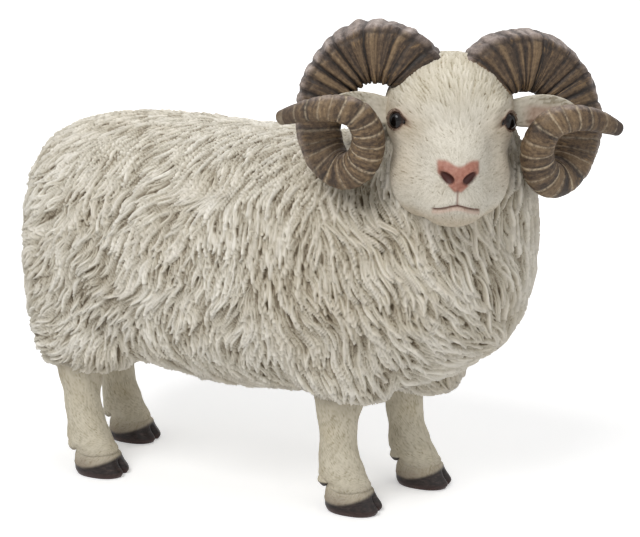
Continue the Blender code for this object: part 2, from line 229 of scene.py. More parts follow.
def finishPiece(piece, paint):
    putPoints(piece, pointsOf(piece) + standShift)
    piece.data.materials.clear()
    piece.data.materials.append(paint)
    piece.data.shade_smooth()
    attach(piece, "root")
    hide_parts("ram_figurine")


# strokes: locks of wool and hairs

# shared by all strokes, in shares of one stroke from its root to its tip
strokeShape = {"lengths": (0.75, 1.25), "widths": (0.8, 1.25), "reach": 0.56, "swells": (-0.12, 0.30),
               "narrows": (0.40, 1.04), "pointed": 0.86, "blunter": 0.42, "climbs": 0.72,
               "drops": (0.86, 1.0), "drop": 0.7, "least": 0.14, "most": 1.2}


def treeOf(points):
    tree = KDTree(len(points))
    for i, p in enumerate(points):
        tree.insert(p, i)
    tree.balance()
    return tree


def pointsNear(tree, points, i, reach, way, across):
    # which points lie within reach of one, and how far along and aside of it
    near = np.array([hit[1] for hit in tree.find_range(points[i], reach)])
    gap = points[near] - points[i]
    return near, gap @ way, gap @ across


def inOval(along, aside, halfLength, halfWidth):
    return (along / halfLength) ** 2 + (aside / halfWidth) ** 2 < 1


def layStrokes(points, normals, way, look, grown, seed, part=None, blunt=None):
    # overlapping strokes: each rises along the combing, narrows to a tip and drops off there
    # gives height, tone, nearness to the edge and place within it for the stroke that shows
    chance = np.random.default_rng(seed)
    across = np.cross(normals, way)
    y, z = points[:, 1], points[:, 2]
    drift = 2.4 * np.sin(y * 47 + z * 31) + 2.0 * np.sin(z * 73 - y * 19)  # neighbours wave together
    tree = treeOf(points)
    taken = np.zeros(len(points), bool) if part is None else ~part
    height = np.zeros(len(points))
    tone, edge = np.full(len(points), 0.5), np.full(len(points), 0.5)
    grain = np.zeros((len(points), 3))
    for i in chance.permutation(len(points)):
        if taken[i]:
            continue
        length = look["length"] * grown[i] * chance.uniform(*strokeShape["lengths"])
        width = look["width"] * grown[i] * chance.uniform(*strokeShape["widths"])
        near, along, aside = pointsNear(tree, points, i, length * strokeShape["reach"], way[i], across[i])
        crowd = inOval(along, aside, look["crowdAlong"] * length, look["crowdAside"] * width)
        taken[near[crowd]] = True
        t = along / length + 0.5
        inside = (t > 0) & (t < 1) & (normals[near] @ normals[i] > 0.2)
        near, t, along, aside = near[inside], t[inside], along[inside], aside[inside]
        if not len(near):
            continue
        lean, bend = chance.normal(0, look["lean"]), chance.normal(0, look["bend"])
        swing = chance.uniform(0, 6.28)
        aside = aside - lean * along - bend * length * (t - 0.5) ** 2
        aside = aside - look["wave"] * width * np.sin(t * 6 + drift[i])
        pointed = strokeShape["pointed"] - (0 if blunt is None else strokeShape["blunter"] * blunt[i])
        half = width * 0.5 * np.sqrt(ramp(t, *strokeShape["swells"]))
        half = half * (1 - pointed * ramp(t, *strokeShape["narrows"]) ** 1.2)
        s = aside / np.maximum(half, 1e-6)
        bow = np.clip(1 - s * s, 0, 1) ** 0.9
        strands = 0.5 - 0.5 * np.cos(math.pi * 2 * (s * look["strands"] / 2 + swing))
        rise = 0.50 + 0.50 * ramp(t, 0.0, strokeShape["climbs"])
        drop = 1 - ramp(t, *strokeShape["drops"]) * strokeShape["drop"]
        layer = 1 + look["layer"] * (chance.uniform(0, 1) - 0.5)
        own = bow * (1 - look["strand"] * strands) * rise * drop * layer
        shade = chance.uniform(0, 1)
        best = own > height[near]
        spot = near[best]
        height[spot], tone[spot] = own[best], shade
        edge[spot] = np.maximum(np.abs(s[best]), ramp(t[best], 0.90, 1.0) * 0.9)
        inStroke = (aside[best] * 1000, along[best] * 1000, np.full(len(spot), shade * 37))
        grain[spot] = np.stack(inStroke, axis=1)
    return np.clip(height, strokeShape["least"], strokeShape["most"]), tone, edge, grain


# small tools for paints

def rgb(red, green, blue):
    # from the everyday 0 to 255 scale
    return tuple(c / 255 / 12.92 if c <= 10 else ((c / 255 + 0.055) / 1.055) ** 2.4
                 for c in (red, green, blue)) + (1,)


class PaintBox:
    # one material's nodes, added one by one and joined by their sockets

    def __init__(self, name):
        self.paint = bpy.data.materials.new(name)
        self.paint.use_nodes = True
        self.tree = self.paint.node_tree
        self.shader = self.tree.nodes["Principled BSDF"]

    def put(self, node, socket, value):
        if isinstance(value, bpy.types.NodeSocket):
            self.tree.links.new(value, node.inputs[socket])
        else:
            node.inputs[socket].default_value = value

    def add(self, kind, inputs=(), **settings):
        node = self.tree.nodes.new(kind)
        for key, value in settings.items():
            setattr(node, key, value)
        for socket, value in dict(inputs).items():
            self.put(node, socket, value)
        return node

    def stored(self, name, vector=False):
        node = self.add("ShaderNodeAttribute", attribute_name=name)
        return node.outputs["Vector" if vector else "Fac"]

    def scaled(self, vector, scale):
        return self.add("ShaderNodeMapping", {"Vector": vector, "Scale": scale}).outputs[0]

    def objectPlace(self, scale=(1, 1, 1)):
        return self.scaled(self.add("ShaderNodeTexCoord").outputs["Object"], scale)

    def noise(self, vector, scale, detail=3.0, rough=0.55):
        return self.add("ShaderNodeTexNoise", {"Vector": vector, "Scale": scale, "Detail": detail,
                                               "Roughness": rough}).outputs["Fac"]

    def calc(self, how, a, b):
        return self.add("ShaderNodeMath", {0: a, 1: b}, operation=how).outputs[0]

    def times(self, a, b):
        return self.calc("MULTIPLY", a, b)

    def sumOf(self, first, *others):
        for other in others:
            first = self.calc("ADD", first, other)
        return first

    def aboutHalf(self, value, share):
        # a value from 0 to 1 as a share up or down
        return self.times(self.calc("SUBTRACT", value, 0.5), share)

    def spread(self, value, low, high, outLow=0.0, outHigh=1.0):
        return self.add("ShaderNodeMapRange", {"Value": value, "From Min": low, "From Max": high,
                                               "To Min": outLow, "To Max": outHigh}).outputs[0]

    def steps(self, value, stops):
        node = self.add("ShaderNodeValToRGB", {"Fac": value})
        band = node.color_ramp.elements
        while len(band) < len(stops):
            band.new(0.5)
        for slot, (place, colour) in zip(band, stops):
            slot.position = place
            slot.color = colour
        return node.outputs["Color"]

    def blend(self, share, under, over, how="MIX"):
        return self.add("ShaderNodeMix", {0: share, 6: under, 7: over}, data_type="RGBA",
                        blend_type=how).outputs[2]

    def glaze(self, share, under, tint):
        return self.blend(share, under, tint, "MULTIPLY")

    def bump(self, height, strength, distance):
        node = self.add("ShaderNodeBump", {"Height": height, "Strength": strength, "Distance": distance})
        self.put(self.shader, "Normal", node.outputs[0])

    def done(self, colour, roughness, specular):
        self.put(self.shader, "Base Color", colour)
        self.put(self.shader, "Roughness", roughness)
        self.put(self.shader, "Specular IOR Level", specular)
        return self.paint


# floor and world

def addFloor():
    bpy.ops.object.select_all(action="DESELECT")
    bpy.ops.mesh.primitive_plane_add(size=12, location=(0, 0, -0.0004))
    floor = bpy.context.object
    floor.name = "floor"
    box = PaintBox("palePaper")
    place = box.objectPlace()
    colour = box.steps(box.noise(place, 2.0), [(0.0, (0.90, 0.90, 0.90, 1)), (1.0, (0.94, 0.94, 0.94, 1))])
    path = box.add("ShaderNodeLightPath").outputs
    seen = box.calc("MAXIMUM", path["Is Camera Ray"], path["Is Glossy Ray"])
    far = box.add("ShaderNodeVectorMath", {0: place}, operation="LENGTH").outputs["Value"]
    box.put(box.shader, "Emission Color", (1, 1, 1, 1))
    box.put(box.shader, "Emission Strength", box.times(seen, box.spread(far, 0.25, 1.6, paleLevel, 1.0)))
    floor.data.materials.append(box.done(colour, 0.9, 0.0))


def lightWorld():
    world = bpy.context.scene.world or bpy.data.worlds.new("studio")
    bpy.context.scene.world = world
    world.use_nodes = True
    tree = world.node_tree
    tree.nodes.clear()
    path = tree.nodes.new("ShaderNodeLightPath")
    seen = path.outputs["Is Camera Ray"]
    for other in ("Is Glossy Ray", "Is Transmission Ray"):
        most = tree.nodes.new("ShaderNodeMath")
        most.operation = "MAXIMUM"
        tree.links.new(seen, most.inputs[0])
        tree.links.new(path.outputs[other], most.inputs[1])
        seen = most.outputs[0]
    level = tree.nodes.new("ShaderNodeMapRange")
    level.inputs["To Min"].default_value = paleLevel
    tree.links.new(seen, level.inputs["Value"])
    sky = tree.nodes.new("ShaderNodeBackground")
    sky.inputs["Color"].default_value = (1, 1, 1, 1)
    tree.links.new(level.outputs[0], sky.inputs["Strength"])
    out = tree.nodes.new("ShaderNodeOutputWorld")
    tree.links.new(sky.outputs[0], out.inputs[0])


addFloor()
lightWorld()
print("floor and world made")


# head frame: measured from the point between the eyes

head = {"place": (-0.0485, -0.1015, 0.2870), "turn": 66.5, "tilt": 1.2, "size": 0.0875, "cell": 0.0030,
        "passes": 20, "levels": 2, "seed": 23}
headTurn = np.array(Matrix.Rotation(math.radians(-head["turn"]), 3, "Z")
                    @ Matrix.Rotation(math.radians(head["tilt"]), 3, "Y"))


def onHead(places):
    # (left, ahead, up) from between the eyes, in the ram's own frame
    return np.array(places, float) * (1, -1, 1) @ headTurn.T + np.array(head["place"])


def fromHead(points):
    # back to (left, ahead, up), in millimetres
    return (points - np.array(head["place"])) @ headTurn * (1000, -1000, 1000)


# fleece

fleece = {"length": 0.386, "width": 0.158, "back": 0.268, "belly": 0.079, "rump": 0.235, "thigh": 0.060,
          "ruff": 0.118, "tail": 0.060, "cell": 0.0046, "passes": 8, "fineCell": 0.0047, "finePasses": 3,
          "levels": 2, "seed": 11, "rise": 0.0031, "flatterTop": 0.0008, "fullerRuff": 0.0012,
          "fullerHem": 0.0010}
stance = {"frontTrack": 0.0644, "hindTrack": 0.072, "hindSide": -0.003, "hindY": 0.181, "hindStep": -0.011,
          "hindLean": 0.0036, "frontY": -0.024, "frontStep": 0.0315}
fleeceDepth = fleece["back"] - fleece["belly"]

# share from rump to chest, half width, top, underside
barrelStations = [(0.000, 0.18, 0.66, 0.40), (0.022, 0.53, 0.825, 0.21), (0.065, 0.77, 0.935, 0.10),
                  (0.130, 0.89, 0.983, 0.05), (0.215, 0.95, 1.01, 0.05), (0.310, 0.98, 1.01, 0.02),
                  (0.405, 1.00, 1.00, 0.00), (0.510, 1.00, 0.99, 0.00), (0.610, 0.97, 0.985, 0.02),
                  (0.715, 0.93, 0.985, 0.05), (0.815, 0.85, 0.97, 0.10), (0.885, 0.72, 0.92, 0.18),
                  (0.942, 0.53, 0.84, 0.32), (0.980, 0.26, 0.73, 0.50)]
# share of the body's depth, set back, half width, half length
thighStations = [(0.03, -0.002, 0.62, 0.62), (0.09, -0.002, 0.78, 0.79), (0.25, -0.003, 0.92, 0.92),
                 (0.45, -0.004, 1.00, 0.97), (0.70, -0.006, 0.84, 0.88), (0.92, -0.016, 0.50, 0.50)]
# share of the body's depth, half width, half length; two rings at the hem are added for each side
shoulderStations = [(0.22, 1.00, 1.06), (0.45, 1.12, 1.15), (0.70, 0.90, 0.95), (0.88, 0.50, 0.50)]
# share from the chest to the nape, half width, half length, set back
ruffStations = [(-0.12, 0.50, 0.56, 0.002), (0.04, 0.84, 0.93, -0.006), (0.26, 1.01, 1.04, -0.007),
                (0.50, 0.98, 1.03, -0.008), (0.74, 0.92, 0.96, -0.006), (0.94, 0.78, 0.80, -0.002),
                (1.06, 0.50, 0.55, 0.0)]
# share from rump to chest, then degrees from straight down towards the tail, at hem, middle and back
combed = [(0.00, 70, 62, 56), (0.10, 66, 60, 56), (0.17, 25, 32, 54), (0.26, -20, 33, 54),
          (0.38, -34, 30, 54), (0.50, -24, 10, 50), (0.62, -10, -6, 40), (0.76, -26, -32, 10),
          (0.90, -32, -38, -10), (1.00, -30, -34, -10)]

bunches = {"length": 0.034, "width": 0.0125, "height": 0.0040, "crowdAlong": 0.40, "crowdAside": 0.70,
           "reach": 0.62, "lean": 0.10, "sizes": (0.85, 1.15), "sunk": 0.4, "seed": 7}
woolLocks = {"length": 0.029, "width": 0.0060, "crowdAlong": 0.26, "crowdAside": 0.48, "lean": 0.09,
             "bend": 0.08, "wave": 0.25, "strand": 0.45, "strands": 2.4, "layer": 0.95}


def stepOf(pair, side):
    # only the left feet stand ahead of the others or behind them
    return stance[pair + "Step"] if side > 0 else 0.0


def upBody(share):
    return fleece["belly"] + share * fleeceDepth


def barrelForm():
    rings = []
    for along, wide, top, under in easedRows(barrelStations, 4):
        low, high = upBody(under), upBody(top)
        flat = roundOutline(36, wide * fleece["width"] / 2, (high - low) / 2, 2.25)
        y = fleece["rump"] - along * fleece["length"]
        rings.append([(x, y, (low + high) / 2 + z) for x, z in flat])
    return skinThrough("barrel", rings)


def thighForm(side):
    x, y = side * stance["hindTrack"] / 2 + stance["hindSide"], stance["hindY"] - stepOf("hind", side)
    rings = []
    for up, back, wide, long in easedRows(thighStations, 4):
        flat = roundOutline(24, wide * fleece["thigh"] / 2, long * fleece["thigh"] * 0.84, 2.2)
        rings.append([(x + a, y + back + b, upBody(up)) for a, b in flat])
    return skinThrough("thigh", rings)


def shoulderForm(side):
    step = stepOf("front", side)
    hem = 0.045 - 0.065 * (step > 0)  # lower over the leg that is ahead
    x, y = side * (stance["frontTrack"] / 2 + 0.003), stance["frontY"] - 0.85 * step - 0.002
    rings = []
    for up, wide, long in easedRows([(hem, 0.66, 0.70), (hem + 0.045, 0.84, 0.92)] + shoulderStations, 4):
        flat = roundOutline(24, wide * fleece["thigh"] / 2, long * fleece["thigh"] * 0.62)
        rings.append([(x + a, y + b, upBody(up)) for a, b in flat])
    return skinThrough("shoulder", rings)


def ruffForm():
    nape = Vector(onHead([(0, -0.040, -0.006)])[0])
    low = Vector((0, fleece["rump"] - 0.790 * fleece["length"], fleece["belly"] + 0.18 * fleece["back"]))
    rings = []
    for up, wide, long, back in easedRows(ruffStations, 4):
        centre = low.lerp(nape, up)
        flat = roundOutline(28, wide * fleece["ruff"] / 2, long * fleece["ruff"] / 2, 2.1)
        rings.append([(centre.x + a, centre.y + back + b, centre.z) for a, b in flat])
    return skinThrough("ruff", rings)


def tailForm():
    half = fleece["tail"] / 2
    return addBall("tail", (0, fleece["rump"] - 0.009, upBody(0.72) - half), (0.015, 0.011, half),
                   segments=24, rings=14)


def placeOnBody(points):
    share = (fleece["rump"] - points[:, 1]) / fleece["length"]
    return share, (points[:, 2] - fleece["belly"]) / fleeceDepth


def combing(points, normals, sway):
    x, y, z = points.T
    share, tall = placeOnBody(points)
    places, low, middle, top = np.array(combed).T
    low, middle, top = (np.interp(share, places, row) for row in (low, middle, top))
    swept = middle + (low - middle) * (1 - ramp(tall, 0.02, 0.32))
    swept += (top - swept) * ramp(tall, 0.68, 1.0)
    wave = 8 * np.sin(y * 61 + z * 37) + 6 * np.sin(y * 23 - z * 88)
    angle = np.radians(swept + sway * wave)
    # the fine locks also part along the spine
    parted = 1.1 * sway * ramp(tall, 0.70, 1.0) * x / np.sqrt(x ** 2 + 0.018 ** 2)
    return alongSkin(np.stack([parted, np.sin(angle), -np.cos(angle)], axis=1), normals)


def raiseBunches(wool):
    # the broad bunches of locks, which the solid has too
    points, normals = pointsOf(wool), normalsOf(wool)
    way = combing(points, normals, 0)
    across = np.cross(normals, way)
    chance = np.random.default_rng(bunches["seed"])
    tree = treeOf(points)
    taken, height = np.zeros(len(points), bool), np.zeros(len(points))
    length, width = bunches["length"], bunches["width"]
    for i in chance.permutation(len(points)):
        if taken[i]:
            continue
        near, along, aside = pointsNear(tree, points, i, length * bunches["reach"], way[i], across[i])
        crowd = inOval(along, aside, bunches["crowdAlong"] * length, bunches["crowdAside"] * width)
        taken[near[crowd]] = True
        lean, size = chance.normal(0, bunches["lean"]), chance.uniform(*bunches["sizes"])
        t = along / (length * size) + 0.5
        half = width * 0.5 * np.clip(1.25 - 0.95 * np.abs(t - 0.35) ** 1.3, 0.2, 2)
        bow = np.clip(1 - ((aside - lean * along) / half) ** 2, 0, 1)
        rise = (0.35 + 0.65 * ramp(t, 0.0, 0.70)) * (1 - ramp(t, 0.80, 1.0)) * ramp(t, -0.05, 0.2)
        facing = np.clip((normals[near] @ normals[i]) * 2 - 1, 0, 1)
        height[near] = np.maximum(height[near], bow * rise * facing * size)
    pushOut(wool, (height - bunches["sunk"]) * bunches["height"])


def makeFleece():
    forms = [barrelForm(), ruffForm(), tailForm()]
    for side in (-1, 1):
        forms += [thighForm(side), shoulderForm(side)]
    wool = joinForms("fleece", forms)
    evenSkin(wool, fleece["cell"], fleece["passes"], 0)
    raiseBunches(wool)
    evenSkin(wool, fleece["fineCell"], fleece["finePasses"], fleece["levels"])
    points, normals = pointsOf(wool), normalsOf(wool)
    way = combing(points, normals, 1)
    share, tall = placeOnBody(points)
    onTop = ramp(tall, 0.72, 1.0) * (1 - ramp(share, 0.74, 0.92))
    onRuff, atHem = ramp(share, 0.60, 0.80), 1 - ramp(tall, 0.02, 0.16)
    grown = 0.92 - 0.26 * onTop + 0.22 * onRuff
    height, tone, edge, grain = layStrokes(points, normals, way, woolLocks, grown, fleece["seed"],
                                           blunt=onRuff)
    height = np.clip((height - 0.16) / 0.84, 0, 1.3)
    rise = fleece["rise"] - fleece["flatterTop"] * onTop + fleece["fullerRuff"] * onRuff
    rise = rise + fleece["fullerHem"] * atHem
    moved = points + normals * (rise * (height - 0.58))[:, None]
    moved += way * ((0.30 + 0.35 * atHem) * rise * height)[:, None]  # the tips hang forward
    putPoints(wool, moved)
    # painted shade: darker round the neck and along the hem
    wash = bell(share - 0.70, 0.13) * bell(tall - 0.66, 0.34) + 0.5 * ramp(share, 0.75, 0.95) + 0.45 * atHem
    keepValues(wool, woolHeight=height, woolTone=tone, woolEdge=edge, woolGrain=grain,
               woolWash=np.clip(wash, 0, 1))
    print("fleece combed:", len(points), "points")
    return wool


woolColours = {"levels": [(0.00, rgb(98, 86, 70)), (0.20, rgb(150, 140, 122)), (0.43, rgb(201, 194, 178)),
                          (0.82, rgb(237, 232, 221))],
               "patches": rgb(206, 192, 166), "wash": rgb(212, 203, 187)}


def woolPaint():
    box = PaintBox("woolPaint")
    height, grain = box.stored("woolHeight"), box.stored("woolGrain", True)
    strand = box.noise(box.scaled(grain, (0.85, 0.07, 1.0)), 1.0, 2.0)
    fibre = box.noise(box.scaled(grain, (2.2, 0.16, 1.0)), 1.0, 2.0)
    streak = box.sumOf(box.times(strand, 0.65), box.times(fibre, 0.35))
    # darker in the grooves and along each lock's edge, paler on the crests: partly the figurine's wash,
    # partly painted shade and painted highlight
    level = box.sumOf(box.times(height, 0.80), box.aboutHalf(streak, 0.95),
                      box.aboutHalf(box.stored("woolTone"), 0.14))
    level = box.calc("SUBTRACT", level, box.spread(box.stored("woolEdge"), 0.50, 1.0, 0.0, 0.46))
    colour = box.steps(level, woolColours["levels"])
    patch = box.noise(box.objectPlace(), 24.0)
    colour = box.glaze(box.spread(patch, 0.42, 0.78, 0.0, 0.30), colour, woolColours["patches"])
    # painted shade round the neck and along the hem
    colour = box.glaze(box.times(box.stored("woolWash"), 0.40), colour, woolColours["wash"])
    box.bump(box.sumOf(streak, height), 0.60, 0.0008)
    return box.done(colour, 0.72, 0.22)


def cutFleece(wool, paint):
    # four pieces along the body, each closed where it meets the next
    names = ("fleeceRump", "fleeceFlank", "fleeceShoulder", "fleeceRuff")
    cuts = [None, *np.quantile(pointsOf(wool)[:, 1], (0.27, 0.53, 0.77))[::-1], None]
    for name, back, front in zip(names, cuts, cuts[1:]):
        piece = wool.copy()
        piece.data = wool.data.copy()
        piece.name = name
        bpy.context.scene.collection.objects.link(piece)
        for cut, side in ((back, 1), (front, -1)):
            if cut is None:
                continue
            onlyPick(piece)
            bpy.ops.object.mode_set(mode="EDIT")
            bpy.ops.mesh.select_all(action="SELECT")
            bpy.ops.mesh.bisect(plane_co=(0, cut, 0), plane_no=(0, side, 0), use_fill=True,
                                clear_outer=True)
            bpy.ops.object.mode_set(mode="OBJECT")
        finishPiece(piece, paint)
        print(name, len(piece.data.polygons), "faces")
    bpy.data.objects.remove(wool)


cutFleece(makeFleece(), woolPaint())


# skull and face

# left, ahead, up, half width, half length, half height, as shares of the head's size
skullForms = [(0.00, -0.17, 0.045, 0.490, 0.430, 0.445), (0.00, 0.02, -0.04, 0.455, 0.270, 0.330),
              (0.255, 0.015, -0.02, 0.210, 0.235, 0.270), (0.18, 0.04, -0.38, 0.265, 0.380, 0.330),
              (0.00, 0.22, -0.24, 0.300, 0.360, 0.255), (0.00, 0.36, -0.46, 0.290, 0.245, 0.250),
              (0.00, 0.44, -0.30, 0.200, 0.205, 0.150), (0.00, 0.29, -0.595, 0.228, 0.190, 0.135),
              (0.00, -0.30, -0.20, 0.330, 0.300, 0.380)]
# rise, where it begins and ends ahead, how far out and how wide, how far up and how wide, in millimetres
faceForms = {"brow": (1.2, -12, 4, 31, 11, 13, 5), "besideNose": (-1.6, 0, 12, 25, 7, -14, 9),
             "cheek": (0.8, 0, 14, 26, 8, -30, 9)}
# millimetres and degrees
eyes = {"out": 37.1, "up": 1.8, "radius": 7.2, "sunk": 4.7, "openAcross": 60.0, "openUp": 46.0,
        "corner": 15.0, "upperLid": 1.7, "lowerLid": 1.1}
nose = {"half": 12.6, "tip": -35.4, "notch": -19.8, "top": -16.9, "rise": 0.45, "wing": 0.9,
        "holeOut": 7.3, "holeUp": -26.8, "holeTurn": 38.0, "holeHalf": 5.6, "holeDeep": 3.6}
mouth = {"half": 15.0, "up": -47.2, "bow": 3.1, "deep": 1.9, "lowerLip": 0.9, "upperLip": 0.5}
faceHairs = {"length": 0.0095, "width": 0.0020, "crowdAlong": 0.26, "crowdAside": 0.50, "lean": 0.12,
             "bend": 0.12, "wave": 0.15, "strand": 0.15, "strands": 2.0, "layer": 0.50}


def eyePlace(skin, side):
    # the ball's centre and the way it looks, both in head millimetres, found from the skin round it
    places, facing = skin
    near = (np.abs(places[:, 0] * side - eyes["out"]) < 2.2) & (np.abs(places[:, 2] - eyes["up"]) < 2.2)
    near &= places[:, 1] > -2
    centre, look = places[near].mean(axis=0), facing[near].mean(axis=0)
    look = look / np.linalg.norm(look)
    axis = 0.62 * look + 0.38 * np.array((0.0, 1.0, 0.05))
    return centre - look * eyes["sunk"], axis / np.linalg.norm(axis)


def openLids(local, side, centre, axis):
    # skin inside the opening goes behind the ball, and a soft rim stands round it
    away = local - centre
    far = np.linalg.norm(away, axis=1)
    way = away / far[:, None]
    theta = np.degrees(np.arccos(np.clip(way @ axis, -1, 1)))
    sideways = np.cross(axis, (0, 0, 1))
    sideways /= np.linalg.norm(sideways)
    rise = way @ np.cross(sideways, axis)
    phi = np.arctan2(rise, way @ np.array((-side, 0, 0)))
    opening = np.sqrt((eyes["openAcross"] * np.cos(phi)) ** 2 + (eyes["openUp"] * np.sin(phi)) ** 2)
    opening = opening + eyes["corner"] * bell(phi + 0.42, 0.30)
    past = theta - opening
    outside = np.maximum(past, 0)
    rim = np.where(rise > 0, eyes["upperLid"], eyes["lowerLid"]) * bell(outside, 13)
    hold = bell(outside, 15)
    lid = far * (1 - hold) + (eyes["radius"] + 0.35) * hold + rim
    new = np.where(past < 0, eyes["radius"] - 1.4 - 0.02 * np.abs(past), lid)
    close = (1 - ramp(far, 11.5, 16)) * (theta < 120)
    moved = centre + way * (far + (new - far) * close)[:, None]
    return moved, bell(np.maximum(past, -3), 8) * close, np.where(past < 4, close, 0)


def noseRelief(a, z, front):
    # a heart with its notch at the top, a nostril and its wing on each side, and the line below
    top = nose["notch"] + (nose["top"] - nose["notch"]) * ramp(a, 0.5, 8.5)
    low = nose["tip"] + 0.98 * np.maximum(a - 2.2, 0) + 0.06 * a
    pad = ramp(z - low, -1.6, 1.2) * ramp(top - z, -1.6, 1.4) * ramp(nose["half"] - a, -1.6, 1.4) * front
    turn = math.radians(nose["holeTurn"])
    du, dz = a - nose["holeOut"], z - nose["holeUp"]
    long, short = du * math.cos(turn) + dz * math.sin(turn), -du * math.sin(turn) + dz * math.cos(turn)
    high = np.clip(3.5 - 0.14 * long, 2.0, 4.2)
    nostril = np.clip(1 - (long / nose["holeHalf"]) ** 2 - (short / high) ** 2, 0, 1) * front
    wing = bell(long / 5.8, 1) * bell(short - 3.3, 1.5) * front
    groove = bell(a, 0.75) * ramp(z, mouth["up"] + 2.2, mouth["up"] + 3.6)
    groove *= (1 - ramp(z, nose["tip"] - 0.3, nose["tip"] + 2.2)) * front
    move = nose["rise"] * pad + nose["wing"] * wing - nose["holeDeep"] * np.sqrt(nostril)
    return move - 0.9 * groove - 0.35 * bell(a, 0.8) * pad, pad, nostril, groove


def mouthRelief(a, f, z):
    above = z - (mouth["up"] - 0.6 + mouth["bow"] * bell(a, 8.0))
    reach = (1 - ramp(a, mouth["half"] - 1.2, mouth["half"] + 0.6)) * ramp(f, 26, 32)
    slit = bell(above, 0.70) * reach
    move = mouth["lowerLip"] * bell(above + 2.7, 1.9) + mouth["upperLip"] * bell(above - 2.6, 2.2)
    return move * reach - mouth["deep"] * slit, slit, bell(above + 1.5, 1.2) * reach


def carveFace(piece):
    points, normals = pointsOf(piece), normalsOf(piece)
    local = fromHead(points)
    facing = normals @ headTurn * (1, -1, 1)
    a, f, z = np.abs(local[:, 0]), local[:, 1], local[:, 2]
    noseMove, pad, nostril, groove = noseRelief(a, z, ramp(f, 34, 42))
    mouthMove, slit, lip = mouthRelief(a, f, z)
    move = noseMove + mouthMove
    for rise, begin, end, out, outWide, up, upWide in faceForms.values():
        move += rise * ramp(f, begin, end) * bell(a - out, outWide) * bell(z - up, upWide)
    local = local + facing * move[:, None]
    lidShade, ballHole = np.zeros(len(a)), np.zeros(len(a))
    places = []
    for side in (-1, 1):
        centre, axis = eyePlace((local, facing), side)
        local, shade, hole = openLids(local, side, centre, axis)
        lidShade, ballHole = np.maximum(lidShade, shade), np.maximum(ballHole, hole)
        places.append((centre, axis))
    putPoints(piece, onHead(local / 1000))
    keepValues(piece, facePad=pad, faceNostril=ramp(nostril, 0.02, 0.35), faceLip=lip,
               faceSlit=np.clip(slit + 0.8 * groove, 0, 1), faceLid=np.clip(lidShade, 0, 1))
    return places, np.clip(pad + 1.2 * slit + ballHole + ramp(lidShade, 0.3, 0.8), 0, 1)


def strokeFace(piece, bare):
    points, normals = pointsOf(piece), normalsOf(piece)
    local = fromHead(points)
    out, z = np.abs(local[:, 0]), local[:, 2]
    away = points - onHead([(0, 0.062, -0.024)])  # from just above the nose
    way = alongSkin(away, normals)
    crown = ramp(z, 4, 26)
    near = 1 - ramp(np.linalg.norm(away, axis=1), 0.014, 0.055)
    grown = 1.0 + 0.45 * crown - 0.40 * near
    height, tone, edge, _ = layStrokes(points, normals, way, faceHairs, grown, head["seed"], bare < 0.5)
    rise = (0.00024 + 0.00085 * crown) * (1 - bare) * (1 - 0.45 * near)
    pushOut(piece, rise * (height - 0.4))
    # painted shade with a warm wash: round the eyes, on the cheeks, below the horns and under the chin
    wash = bell(out - eyes["out"] + 4, 13) * bell(z - eyes["up"] + 2, 11)
    wash += 0.7 * bell(out - 33, 10) * bell(z + 26, 16) + 0.6 * ramp(out, 34, 42) + ramp(-z, 46, 58)
    keepValues(piece, hairHeight=height - 0.24 * ramp(edge, 0.4, 0.95) * (1 - bare), hairTone=tone,
               hairCrown=crown, faceWash=np.clip(wash, 0, 1))


faceColours = {"pale": [(0.0, rgb(140, 130, 111)), (0.22, rgb(180, 172, 156)), (0.55, rgb(203, 197, 183)),
                        (0.9, rgb(217, 211, 199))],
               "crown": [(0.0, rgb(108, 96, 75)), (0.24, rgb(160, 149, 126)), (0.5, rgb(198, 190, 171)),
                         (0.9, rgb(220, 213, 198))],
               "pink": [(0.30, rgb(138, 88, 72)), (0.5, rgb(158, 108, 92)), (0.75, rgb(176, 130, 113))],
               "clouds": rgb(206, 194, 168), "wash": rgb(214, 196, 172), "lid": rgb(142, 112, 94),
               "lidEdge": rgb(72, 50, 40), "lip": rgb(178, 132, 116), "slit": rgb(118, 74, 62),
               "nostril": rgb(62, 24, 17)}


def facePaint():
    box = PaintBox("facePaint")
    pad, lid = box.stored("facePad"), box.stored("faceLid")
    grit, mottle = box.noise(box.objectPlace(), 900.0, 2.0), box.noise(box.objectPlace(), 300.0)
    cloud = box.noise(box.objectPlace(), 45.0)
    level = box.sumOf(box.times(box.stored("hairHeight"), 0.75), box.aboutHalf(box.stored("hairTone"), 0.20),
                      box.aboutHalf(grit, 0.30))
    colour = box.blend(box.stored("hairCrown"), box.steps(level, faceColours["pale"]),
                       box.steps(level, faceColours["crown"]))
    colour = box.glaze(box.spread(cloud, 0.5, 0.8, 0.0, 0.30), colour, faceColours["clouds"])
    # painted shade with a warm wash, round the eyes, on the cheeks, below the horns and under the chin
    colour = box.glaze(box.times(box.stored("faceWash"), 0.55), colour, faceColours["wash"])
    colour = box.blend(box.times(lid, 0.62), colour, faceColours["lid"])
    colour = box.blend(box.calc("POWER", lid, 6.0), colour, faceColours["lidEdge"])
    colour = box.blend(pad, colour, box.steps(mottle, faceColours["pink"]))
    colour = box.blend(box.times(box.stored("faceLip"), 0.45), colour, faceColours["lip"])
    colour = box.blend(box.times(box.stored("faceSlit"), 0.85), colour, faceColours["slit"])
    colour = box.blend(box.stored("faceNostril"), colour, faceColours["nostril"])
    box.bump(box.sumOf(grit, mottle), 0.25, 0.0003)
    return box.done(colour, box.spread(pad, 0.0, 1.0, 0.74, 0.48), 0.3)


def makeHead():
    forms = []
    for left, ahead, up, *halves in skullForms:
        for side in ((-1, 1) if left else (1,)):
            place = onHead([(side * left * head["size"], ahead * head["size"], up * head["size"])])[0]
            radii = [half * head["size"] for half in halves]
            forms.append(addBall("form", place, radii, Matrix(headTurn), 48, 32))
    skull = joinForms("head", forms)
    evenSkin(skull, head["cell"], head["passes"], head["levels"])
    places, bare = carveFace(skull)
    strokeFace(skull, bare)
    finishPiece(skull, facePaint())
    print("head made:", len(bare), "points")
    return places


eyePlaces = makeHead()


# eyes

